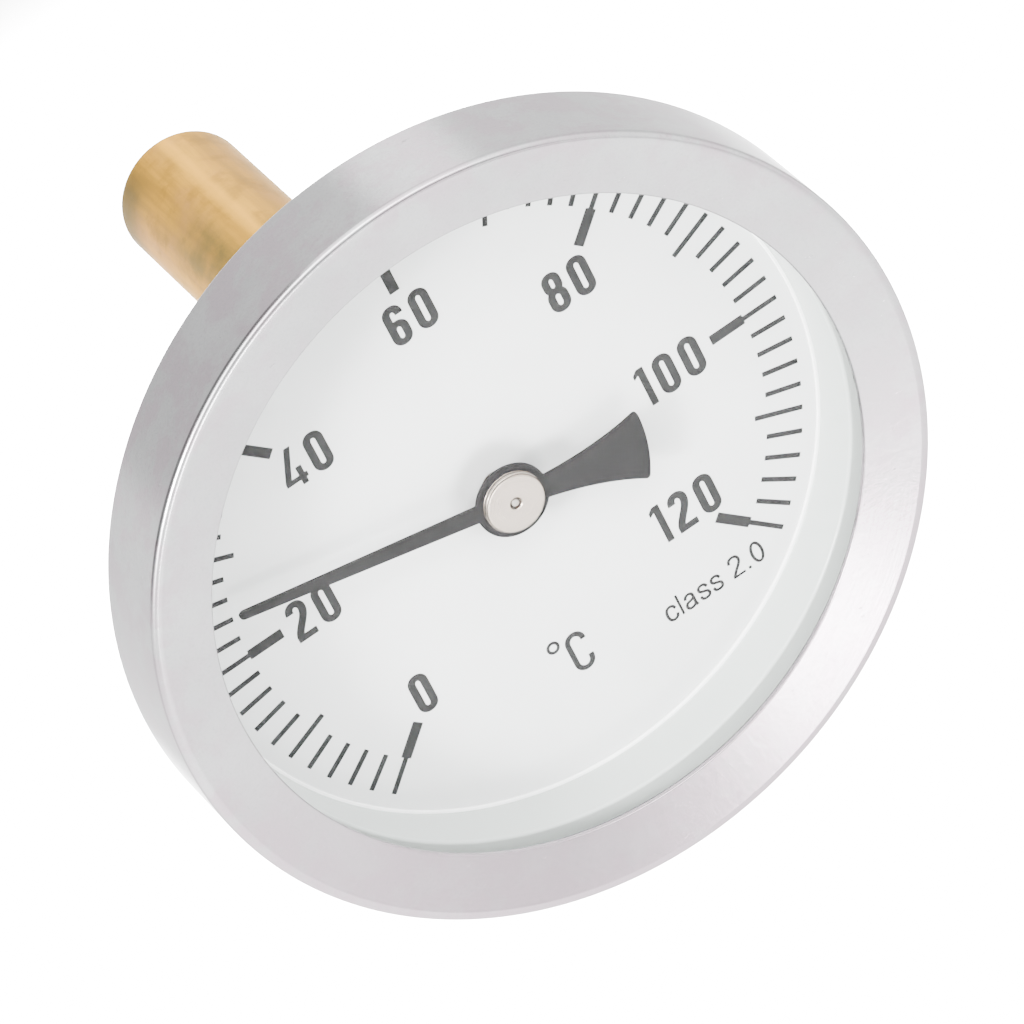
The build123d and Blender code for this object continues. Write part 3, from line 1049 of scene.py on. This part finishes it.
def hub_cap(p):
    """Cap: flat top, wide round shoulder, fine groove over a thin foot flange, and a hole."""
    top, foot, radius = span("hub_cap")
    inner, under = p.spigot + 0.01 * MM, front("pointer_hub") - 0.01 * MM
    waist, flange = radius - 0.1 * MM, foot - 0.13 * MM
    soft, fine, lead = 0.03 * MM, 0.02 * MM, 0.05 * MM
    corners = [
        (inner, foot, soft),
        (inner, under, soft),
        (p.hole, under, soft),
        (p.hole, top + lead, fine),
        (p.hole + lead, top, fine),
        (radius, top, 0.26 * MM),
        (radius, flange - 0.14 * MM, fine),
        (waist, flange - 0.06 * MM, fine),
        (waist, flange, fine),
        (radius, flange, 0.05 * MM),
        (radius, foot, fine),
    ]
    return turned("hub_cap_surface", corners, 192)


def spindle():
    """Rod with a thinner riveted end that shows in the cap, and a coned foot."""
    tip, foot, radius = span("spindle")
    rivet, seat, soft = 0.33 * MM, back("pointer"), 0.05 * MM
    corners = [
        (0, tip, 0),
        (rivet, tip, 0.1 * MM),
        (rivet, seat, 0.02 * MM),
        (radius, seat, soft),
        (radius, foot - radius / 2, soft),
        (radius / 2, foot, soft),
        (0, foot, 0),
    ]
    return turned("spindle_surface", corners, 64, closed=False)


# --- stem ---

def stem_tube():
    """Thin tube whose far end is rolled in a little over the plug."""
    start, end, radius = span("stem_tube")
    inner, edge = radius - 0.4 * MM, 0.1 * MM
    corners = [
        (inner, start, edge),
        (radius, start, edge),
        (radius, end, 0.35 * MM),
        (inner, end, 0.04 * MM),
    ]
    return turned("stem_tube_surface", corners, 128)


def back_nut():
    """Thin hexagon nut: bore, bevelled flats and both faces, in a closed loop."""
    start, end, radius = span("back_nut")
    bore, lead = 6.05 * MM, 0.3 * MM
    depth, cone = bevel_cone(2 * radius, 0.5 * MM, 9)
    y = np.concatenate([[start + lead, start], start + depth, end - depth[::-1], [end, end - lead]])
    limit = np.concatenate([[bore, bore + lead], cone, cone[::-1], [bore + lead, bore]])
    points = hexagon_rows(2 * radius, np.radians(np.arange(0, 360, 2.5)), y, limit)
    return skin("back_nut_surface", [(points, True, True, False)], 30)


def bevel_cone(across, bevel, count):
    """Depths down a hexagon's bevel, and its cone's radius at each, from the flats to the corners."""
    depth, face = np.linspace(0, bevel, count), across / 2 - 0.2 * MM
    return depth, face + (across / sqrt(3) - face) * depth / bevel


def hexagon_rows(across, angle, y, limit):
    """Rows round Y at the smaller of the hexagon's radius and each row's limit."""
    radius = np.minimum(hexagon_radius(angle, across)[None], limit[:, None])
    return around(radius, angle[None], y[:, None])


# --- pocket ---

def pocket_head(p):
    """Hexagon ring with a tapped hole for the clamp screw in the flat that faces +X.

    Round the hole the grid's squares are drawn into circles: a point keeps the larger of its
    two distances from the hole's middle as its radius, fading back to the square grid at the
    window's edge. Inside the rim the circles go down the hole's wall.
    """
    mouth, shoulder = front("pocket"), front("thread_washer")
    middle, flat, lip = (mouth + shoulder) / 2, p.across_flats / 2, 0.5 * MM
    cell, rings, rim = 0.125 * MM, 22, 17
    window = np.arange(-rings, rings + 1) * cell
    side = np.radians(np.arange(105, 435.1, 2.5))
    angle = np.unique(np.round(np.mod(np.concatenate([np.arctan2(flat, window), side]), TURN), 9))
    depth, cone = bevel_cone(p.across_flats, 0.9 * MM, 12)
    wide = np.full(window.shape, p.across_flats / sqrt(3))
    ends = np.array([p.bore, p.bore, p.bore + lip])
    limit = np.concatenate([ends, cone, wide, cone[::-1], [p.bore]])
    start, end = [shoulder, mouth + lip, mouth], [shoulder]
    y = np.concatenate([start, mouth + depth, middle + window, shoulder - depth[::-1], end])
    points = hexagon_rows(p.across_flats, angle, y, limit)
    x, dy, dz = points[..., 0], points[..., 1] - middle, points[..., 2]
    square = np.maximum(np.abs(dy), np.abs(dz))
    inside = (square < (rings + 0.5) * cell) & (x > flat - 0.01 * MM)
    ring = np.rint(square / cell)
    hole = p.screw + 0.05 * MM
    reach = np.where(ring >= rim, hole + 0.2 * MM + (ring - rim) * cell, hole)
    reach = np.where(ring < rim - 1, hole * ring / (rim - 2), reach)
    fade = np.clip((ring - rim) / (rings - rim), 0, 1) ** 2
    factor = reach / np.maximum(np.hypot(dy, dz), 1e-12) * (1 - fade) + fade
    wall = np.where(ring == rim - 1, flat - 0.2 * MM, p.bore + 0.1 * MM)
    sunk = np.stack([np.where(ring >= rim, flat, wall), middle + dy * factor, dz * factor], -1)
    points = np.where(inside[..., None], sunk, points)
    return skin("pocket_head", [(points, True, True, False)], smooth_angle=30)


def pocket_shank(p):
    """Groove, thread, plain shank and closed tip, with the bore inside.

    On the thread's rows the radius follows the thread, and is held under a cone at each of
    its ends.
    """
    shoulder, seal, tip = front("thread_washer"), back("thread_washer"), back("pocket")
    end, chamfer, floor = seal + p.thread_length, 1.0 * MM, tip - 1.5 * MM
    angle = np.radians(np.arange(0, 360, 2.0))
    lead = np.array([(p.bore, shoulder), (p.relief, shoulder), (p.relief, seal)])
    rows = np.arange(seal, end + chamfer, p.pitch / 18)
    cones = np.minimum(p.relief + (rows - seal) * 1.4, p.thread + (end - rows))
    helix = thread_radius(angle[None], rows[:, None], p.pitch, p.thread, p.thread_depth)
    helix = np.minimum(helix, cones[:, None])
    shank = [
        (p.thread - chamfer, end + chamfer, 0),
        (p.shank, end + chamfer, 0.4 * MM),
        (p.shank, tip, 0.8 * MM),
        (0, tip, 0),
    ]
    bore = [(0, floor, 0), (p.bore, floor, 0.8 * MM), (p.bore, shoulder, 0)]
    points = np.concatenate([
        lathe(lead, angle),
        around(helix, angle[None], rows[:, None]),
        lathe(rounded(shank, 10, closed=False), angle),
        lathe(rounded(bore, closed=False), angle),
    ])
    return skin("pocket_shank", [(points, True, True, False)], smooth_angle=38)


def clamp_screw(p):
    """Grub screw along +X: coned point, thread, and two lands that leave the slot between them.

    It is worked out about Y and laid along X by a quarter turn about Z. Each land is the part
    of a disc beyond half the slot's width, eased at its outer edge.
    """
    low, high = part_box("clamp_screw")
    start, end, middle = low.x, high.x, (low.y + high.y) / 2
    floor, root, nose, ease = end - 0.9 * MM, p.screw - 0.4 * MM, 1.4 * MM, 0.25 * MM
    angle = np.radians(np.arange(0, 360, 5.0))
    rows = np.linspace(start + 0.3 * MM, floor, 90)
    helix = thread_radius(angle[None], rows[:, None], p.screw_pitch, p.screw, p.screw - root)
    helix = np.minimum(helix, (nose + (rows - start) * 1.2)[:, None])
    core = np.concatenate([
        lathe(np.array([(0, start), (nose, start)]), angle),
        around(helix, angle[None], rows[:, None]),
        lathe(np.array([(0, floor)]), angle),
    ])
    grids = [(core, False, True, False)]
    reach, half_slot = root + 0.1 * MM, p.slot / 2
    limit = np.arccos(half_slot / reach)
    bend = np.linspace(-limit, limit, 25)
    rim = np.stack([reach * np.sin(bend), reach * np.cos(bend)], -1)
    eased = rim * (1 - ease / reach)
    eased[:, 1] = np.maximum(eased[:, 1], half_slot)
    chord, eased_chord = rim * (1, 0) + (0, half_slot), eased * (1, 0) + (0, half_slot)
    tiers = ((chord, floor), (rim, floor), (rim, end - ease), (eased, end), (eased_chord, end))
    for side in (1, -1):
        land = [np.insert(line * (1, side), 1, height, axis=1) for line, height in tiers]
        grids.append((np.stack(land), True, False, False))
    laid = []
    for points, *flags in grids:
        x, y, z = np.moveaxis(points, -1, 0)
        laid.append((np.stack([y, middle - x, z], -1), *flags))
    return skin("clamp_screw_surface", laid, smooth_angle=35)


# --- operators ---

class BuildCase(bpy.types.Operator):
    """Bezel ring, pot, glass, gasket and spacer"""

    bl_idname = "thermometer.case"
    bl_label = "Case"

    def execute(self, context):
        p = context.scene.thermometer.case
        metal = case_metal(p.metal, p.blush, p.window)
        finished(bezel_ring(p), "case", metal, "case_metal", "bezel_ring")
        pot = pressed_steel(p.pot_metal)
        finished(case_pot(p), "case", pot, "pressed_steel", "case_pot")
        glass = clear_glass(p.glass)
        finished(window_glass(), "case", glass, "window_glass", "window_glass")
        rubber = matte_solid("black_rubber", (0.03, 0.03, 0.032), 0.5, 0.3 * MM)
        gasket = plain_ring("window_gasket_ring", "window_gasket", 26.6 * MM, 0.08 * MM, gap=0.03 * MM)
        finished(gasket, "case", rubber, "gasket", "window_gasket")
        white = white_plastic(p.spacer, p.window + p.bead)
        spacer = spacer_ring(p)
        finished(spacer, "case", white, "spacer", "spacer_ring")
        return {"FINISHED"}


class BuildDial(bpy.types.Operator):
    """Dial plate and everything printed on it"""

    bl_idname = "thermometer.dial"
    bl_label = "Dial"

    def execute(self, context):
        p = context.scene.thermometer.dial
        enamel = dial_enamel(p.enamel)
        blank = plain_ring("dial_plate_blank", "dial_plate", 1.3 * MM, 0.06 * MM)
        finished(blank, "case", enamel, "dial", "dial_plate")
        ink = printing_ink("dial_ink", p.ink, 0.03)
        marks = figure_marks(p.figure_height, p.stroke)
        half, depth = p.figure_height / MM / 2, p.ink_depth
        pieces = [scale_marks(p)]
        for text, x, z in NUMBERS:
            pieces.append(skin(f"number_{text}", number(marks, text, x, z - half, depth), smooth_angle=35))
        unit = place(marks["degree"], *DEGREE_AT, depth) + place(marks["C"], *LETTER_AT, depth)
        pieces += [skin("unit_sign", unit, smooth_angle=35), accuracy_note(p)]
        for piece in pieces:
            finished(piece, "case", ink, "pointer_paint")
        return {"FINISHED"}


class BuildPointer(bpy.types.Operator):
    """Pointer, hub, cap and spindle"""

    bl_idname = "thermometer.pointer"
    bl_label = "Pointer"

    def execute(self, context):
        p = context.scene.thermometer.pointer
        paint = printing_ink("pointer_paint", p.paint, 0.035)
        finished(pointer_blade(p), "pointer", paint, "pointer_paint", "pointer")
        # Painted shade: a dark ring in the gap round the spindle's end at 0.4 mm, and one in the cap's
        # foot groove at 2.35 mm.
        painted_groove_shade = ((0.4 * MM, 0.08 * MM), (2.35 * MM, 0.035 * MM))
        nickel = turned_metal("nickel", p.nickel, 0.15, 0.05 * MM, tint(p.nickel, 0.86), painted_groove_shade)
        finished(pointer_hub(p), "pointer", nickel, "nickel", "pointer_hub")
        finished(hub_cap(p), "pointer", nickel, "nickel", "hub_cap")
        steel = turned_metal("ground_steel", (0.36, 0.33, 0.3), 0.25, 0.08 * MM, (0.25, 0.23, 0.21))
        finished(spindle(), "pointer", steel, "steel", "spindle")
        return {"FINISHED"}


class BuildStem(bpy.types.Operator):
    """Stem tube, nut and the CAD parts of the stem that only need a finish"""

    bl_idname = "thermometer.stem"
    bl_label = "Stem"

    def execute(self, context):
        brass = turned_metal("turned_brass", (0.5, 0.28, 0.05), 0.25, 0.1 * MM, (0.4, 0.22, 0.04))
        finished(stem_tube(), "stem", brass, "turned_brass", "stem_tube")
        zinc = turned_metal("zinc_steel", (0.36, 0.36, 0.37), 0.28, 0.12 * MM, (0.28, 0.28, 0.29))
        finished(back_nut(), "stem", zinc, "zinc_steel", "back_nut")
        steel = bpy.data.materials["ground_steel"]
        washer = plain_ring("spring_washer_ring", "spring_washer", 6.1 * MM, 0.1 * MM, 128, 0.01 * MM)
        finished(washer, "stem", steel, "steel", "spring_washer")
        acetal = matte_solid("acetal", (0.72, 0.69, 0.6), 0.4, 0.3 * MM)
        finishes = {
            "stem_boss": brass,
            "tube_plug": brass,
            "coil_collar": brass,
            "front_bearing": acetal,
            "rear_bearing": acetal,
            "bimetal_coil": bimetal((0.42, 0.42, 0.43)),
        }
        for node, material in finishes.items():
            shown = frame["nodes"][node]
            shown.data.materials.clear()
            shown.data.materials.append(material)
        return {"FINISHED"}


class BuildPocket(bpy.types.Operator):
    """Pocket, sealing washer and clamp screw"""

    bl_idname = "thermometer.pocket"
    bl_label = "Pocket"

    def execute(self, context):
        p = context.scene.thermometer.pocket
        brass = pocket_brass(p.brass, p.pink, p.olive, back("pocket"))
        finished(pocket_head(p), "pocket", brass, "pocket_brass", "pocket")
        finished(pocket_shank(p), "pocket", brass, "pocket_brass", "pocket")
        fibre = matte_solid("red_fibre", (0.3, 0.055, 0.03), 0.65, 0.25 * MM)
        washer = plain_ring("thread_washer_ring", "thread_washer", 10.7 * MM, 0.12 * MM, 192)
        finished(washer, "pocket", fibre, "fibre", "thread_washer")
        zinc = bpy.data.materials["zinc_steel"]
        finished(clamp_screw(p), "clamp_screw", zinc, "zinc_steel", "clamp_screw")
        return {"FINISHED"}


def facing(direction, distance, centre=(0, 0, 0)):
    """Placement in a direction from a centre, at a distance, looking back at the centre."""
    turn = (-direction).to_track_quat("-Z", "Y").to_matrix().to_4x4()
    return Matrix.Translation(Vector(centre) + direction * distance) @ turn


def panel_light(name, direction, width, height, watts):
    """Soft panel in a direction from the origin, facing it, and hidden from the camera."""
    data = bpy.data.lights.new(name, "AREA")
    data.shape = "RECTANGLE"
    data.size, data.size_y, data.energy = width, height, watts
    light = linked(name, data)
    light.matrix_world = facing(Vector(direction).normalized(), 1.2)
    light.visible_camera = False


def backdrop_light(watts):
    """Spot on the part of the floor that the camera sees behind the instrument."""
    data = bpy.data.lights.new("backdrop_lamp", "SPOT")
    data.energy, data.spot_size, data.spot_blend = watts, radians(27), 0.2
    data.shadow_soft_size = 0.02
    linked("backdrop_lamp", data).location = (0.14, 0.69, 0.5)


def add_camera(p):
    """Camera on a sphere about the middle of the view, rolled about its own axis."""
    level = cos(p.elevation)
    away = Vector((-sin(p.azimuth) * level, -cos(p.azimuth) * level, sin(p.elevation)))
    camera = linked("camera", bpy.data.cameras.new("camera"))
    camera.data.lens, camera.data.sensor_width = p.lens, 36.0
    camera.data.clip_start, camera.data.clip_end = 0.01, 20.0
    place = facing(away, p.distance, Vector((-0.19, -15.54, -1.79)) * MM)
    camera.matrix_world = place @ Matrix.Rotation(-p.roll, 4, "Z")
    bpy.context.scene.camera = camera


def pale_floor(depth):
    """Square floor at a depth: white under the light behind, paler in front and grey round them."""
    half = 3.0
    corners = np.array([[[-half, -half], [-half, half]], [[half, -half], [half, half]]])
    points = np.concatenate([corners, np.full((2, 2, 1), -depth)], -1)
    floor = skin("floor", [(points, False, False, False)])
    s = Shader("pale_floor", Roughness=0.8, Specular_IOR_Level=0.0)
    x, y, _ = s.parts()
    sheet = x.band(-0.14, -0.02, 0.45, 0.8) * y.step(0.2, 0.5)
    grey = (1 - y.step(-1.6, -0.9)) * x.step(0.2, 0.5) + (1 - sheet) * y.step(0, 0.5)
    shade = s.mix(sheet, (0.78, 0.78, 0.78), (0.92, 0.92, 0.92))
    floor.data.materials.append(s.feed(Base_Color=s.mix(grey, shade, (0.5, 0.5, 0.5))))


def white_room(p):
    """Light walls, a lighter ceiling, a dim corner behind on the left and a bright front strip."""
    world = bpy.data.worlds.new("room")
    s = Nodes(world, "ShaderNodeOutputWorld", "Generated")
    x, y, z = s.parts()
    bright = p.room + (p.ceiling - p.room) * z.step(0.5, 0.95)
    behind = y.step(-0.3, 0.35)
    bright = bright * (1 - 0.3 * behind) * (1 - 0.2 * behind * x.step(0.3, 0.6))
    dim = behind * (1 - x.step(0.12, 0.4)) * (1 - z.step(0.75, 0.95)) * z.step(-0.02, 0.1)
    over = y.step(-0.3, -0.1) * z.step(0.3, 0.5) * (1 - x.step(-0.25, -0.05))
    dim = dim + (1 - dim) * over
    bright = bright - dim * (bright - p.corner - 0.5 * x.step(-0.45, 0))
    arch = y.band(-0.3, -0.15, 0.58, 0.74) * (1 - x.step(-0.3, -0.1)) * z.step(-0.1, 0.05)
    mask = (1 - y.step(-0.85, -0.75)) * z.step(0, 0.15) * (1 - z.step(0.45, 0.6))
    bright = bright * (1 - 0.75 * arch) * (1 - 0.7 * mask)
    strip = y.band(-0.7, -0.6, -0.52, -0.42) * z.step(-0.1, 0.1) * (1 - x.step(0.3, 0.6))
    bright = bright + p.strip * strip
    lamp = s.node("ShaderNodeBackground", {}, {"Color": (1, 1, 1), "Strength": bright})
    s.link(lamp.outputs[0], s.surface)
    bpy.context.scene.world = world


class BuildStage(bpy.types.Operator):
    """Floor, lights and camera"""

    bl_idname = "thermometer.stage"
    bl_label = "Stage"

    def execute(self, context):
        p = context.scene.thermometer.stage
        add_camera(p)
        pale_floor(p.floor)
        white_room(p)
        panel_light("left_lamp", (-0.78, -0.52, 0.36), 0.25, 0.25, p.left)
        panel_light("low_lamp", (-0.05, -0.955, -0.29), 0.24, 0.16, p.low)
        panel_light("rear_lamp", (0.3, 0.8, 0.5), 0.3, 0.3, p.rear)
        backdrop_light(p.backdrop)
        return {"FINISHED"}


BUILDERS = (BuildCase, BuildDial, BuildPointer, BuildStem, BuildPocket, BuildStage)


class ThermometerPanel(bpy.types.Panel):
    """Lists the building steps in the 3D view's sidebar"""

    bl_idname = "VIEW3D_PT_thermometer"
    bl_label = "Dial Thermometer"
    bl_space_type = "VIEW_3D"
    bl_region_type = "UI"
    bl_category = "Thermometer"

    def draw(self, context):
        for builder in BUILDERS:
            self.layout.operator(builder.bl_idname)


GROUPS = (CaseSettings, DialSettings, PointerSettings, PocketSettings, StageSettings, ThermometerSettings)
CLASSES = GROUPS + BUILDERS + (ThermometerPanel,)


def register():
    for cls in CLASSES:
        bpy.utils.register_class(cls)
    bpy.types.Scene.thermometer = PointerProperty(type=ThermometerSettings)


def unregister():
    del bpy.types.Scene.thermometer
    for cls in reversed(CLASSES):
        bpy.utils.unregister_class(cls)


def main():
    register()
    for builder in BUILDERS:
        group, name = builder.bl_idname.split(".")
        getattr(getattr(bpy.ops, group), name)()


if __name__ == "__main__":
    main()
